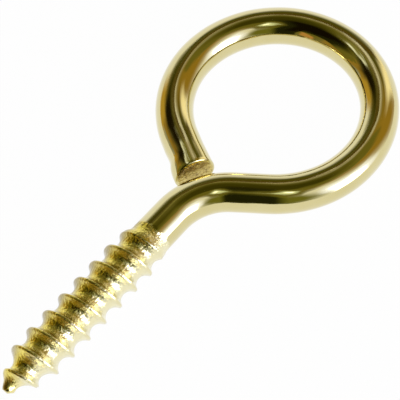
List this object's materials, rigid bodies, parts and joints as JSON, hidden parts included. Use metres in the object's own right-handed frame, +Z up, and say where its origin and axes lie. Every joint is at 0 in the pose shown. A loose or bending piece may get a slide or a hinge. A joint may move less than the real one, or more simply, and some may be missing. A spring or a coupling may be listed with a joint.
{
  "type": "screw eye",
  "caption": "Screw eye bent from round wire, with a coarse wood thread and blunt point on the shank and a nearly closed round eye.",
  "frame": {"origin": "on the surface it lies on, under the shank's axis, at half the overall length from the point to the far side of the eye", "axes": "+X along the shank from the point towards the eye, in plan; +Y across the eye, towards the free end of the wire; +Z up from the surface, square to the eye but for the lean of 0.9 degree at which it rests on its thread"},
  "size_m": [0.0586, 0.0282, 0.0058],
  "materials": {
    "plated_wire": "bright brass plating on steel wire, polished on the eye and rougher in the thread"
  },
  "bodies": {
    "root": {"screw_eye": "plated_wire"}
  },
  "joints": []
}
